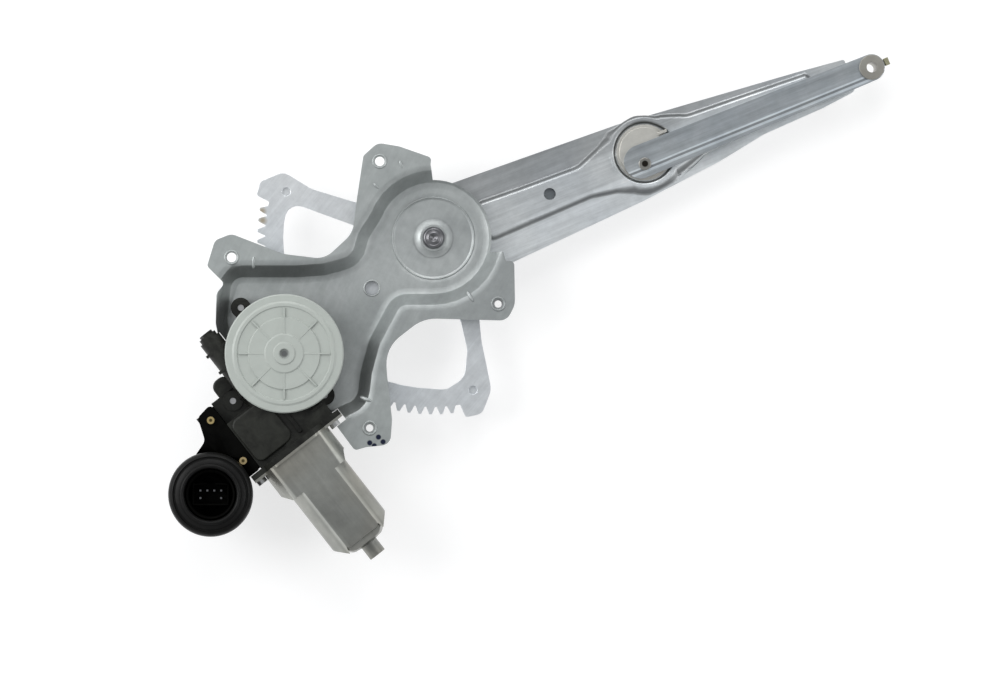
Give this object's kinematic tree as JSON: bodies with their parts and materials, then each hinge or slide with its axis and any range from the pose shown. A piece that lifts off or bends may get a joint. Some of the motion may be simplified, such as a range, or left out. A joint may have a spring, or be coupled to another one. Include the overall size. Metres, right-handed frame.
{
  "type": "cross-arm power window regulator",
  "caption": "Power window regulator with a pressed base plate, toothed sector, crossed lift and equalizer arms, worm gear unit, motor and sealed connector.",
  "frame": {"origin": "centre of the locating hole in the base plate, on the recessed panel's cabin face", "axes": "+Z square to the plate, towards the cabin; X and Y in the plate's plane as the picture shows it, +X to the right and +Y up"},
  "size_m": [0.5046, 0.3534, 0.0695],
  "materials": {
    "zinc_steel": "zinc-plated pressed sheet, satin",
    "arm_steel": "zinc-plated pressed sheet, satin",
    "sector_steel": "zinc-plated blanked plate, satin",
    "disc_steel": "yellow-grey passivated steel",
    "nut_steel": "plain weld nut",
    "pivot_steel": "dark phosphated steel",
    "pinion_steel": "machined steel",
    "core_steel": "laminated steel",
    "screw_steel": "zinc-plated screw",
    "clip_steel": "olive passivated spring steel",
    "yoke_steel": "drawn steel can, zinc-plated",
    "bronze": "sintered bronze",
    "brass_plate": "yellow passivated screw",
    "contact": "tinned contact",
    "copper": "enamelled copper",
    "magnet": "ferrite",
    "carbon": "carbon brush",
    "black_plastic": "glass-filled black plastic",
    "connector_plastic": "black plastic",
    "cover_plastic": "milky natural plastic",
    "wheel_plastic": "natural acetal",
    "roller_plastic": "natural acetal",
    "board": "circuit board",
    "rubber": "black rubber"
  },
  "bodies": {
    "base": {"base_plate": "zinc_steel", "pivot_bush": "bronze", "ear_weld_nuts": "nut_steel", "gear_housing": "black_plastic", "gear_cover": "cover_plastic", "cover_seal": "rubber", "output_bush": "bronze", "housing_screws": "screw_steel", "motor_yoke": "yoke_steel", "motor_magnets": "magnet", "motor_screws": "screw_steel", "yoke_bearing": "bronze", "worm_bearings": "bronze", "brush_holder": "black_plastic", "brushes": "carbon", "brush_springs": "screw_steel", "connector_housing": "connector_plastic", "connector_pins": "contact", "circuit_board": "board", "connector_lid": "connector_plastic", "connector_screws": "brass_plate", "rubber_boot": "rubber", "thrust_cap": "black_plastic"},
    "lift": {"sector_gear": "sector_steel", "lift_arm": "arm_steel", "main_pivot": "pivot_steel", "arm_rivets": "pivot_steel", "lift_roller_pin": "pivot_steel"},
    "equalizer": {"equalizer_front_arm": "arm_steel", "equalizer_rear_arm": "arm_steel", "pivot_disc": "disc_steel", "equalizer_rivets": "pivot_steel", "front_pin": "disc_steel", "end_clip": "clip_steel", "rear_roller_pin": "pivot_steel"},
    "output": {"output_pinion": "pinion_steel", "worm_wheel": "wheel_plastic", "damper_cushions": "rubber"},
    "armature": {"armature_shaft": "pinion_steel", "armature_core": "core_steel", "armature_windings": "copper", "commutator": "copper"},
    "lift_roller_body": {"lift_roller": "roller_plastic"},
    "rear_roller_body": {"rear_roller": "roller_plastic"},
    "front_roller_body": {"front_roller": "roller_plastic"}
  },
  "joints": [
    {"name": "lift_swing", "type": "hinge", "parent": "base", "child": "lift", "pos_m": [0.043, 0.035, 0], "axis": [0, 0, 1], "range_deg": [-54, 45]},
    {"name": "equalizer_swing", "type": "hinge", "parent": "lift", "child": "equalizer", "pos_m": [0.19114, 0.09545, 0], "axis": [0, 0, 1], "range_deg": [-90, 108]},
    {"name": "output_spin", "type": "hinge", "parent": "base", "child": "output", "pos_m": [-0.06102, -0.04627, 0], "axis": [0, 0, 1], "range_deg": [-580, 695]},
    {"name": "armature_spin", "type": "hinge", "parent": "base", "child": "armature", "pos_m": [-0.08841, -0.06767, 0.017], "axis": [0.6157, -0.788, 0], "range_deg": [-50300, 41900]},
    {"name": "lift_roller_spin", "type": "hinge", "parent": "lift", "child": "lift_roller_body", "pos_m": [0.31449, 0.14255, 0], "axis": [0, 0, 1], "continuous": true},
    {"name": "rear_roller_spin", "type": "hinge", "parent": "equalizer", "child": "rear_roller_body", "pos_m": [0.05226, 0.03878, 0], "axis": [0, 0, 1], "continuous": true},
    {"name": "front_roller_spin", "type": "hinge", "parent": "equalizer", "child": "front_roller_body", "pos_m": [0.34961, 0.1544, 0], "axis": [0, 0, 1], "continuous": true}
  ],
  "couplings": [
    {"joint": "output_spin", "follows": "lift_swing", "ratio": -12.75},
    {"joint": "armature_spin", "follows": "lift_swing", "ratio": 930.75}
  ]
}
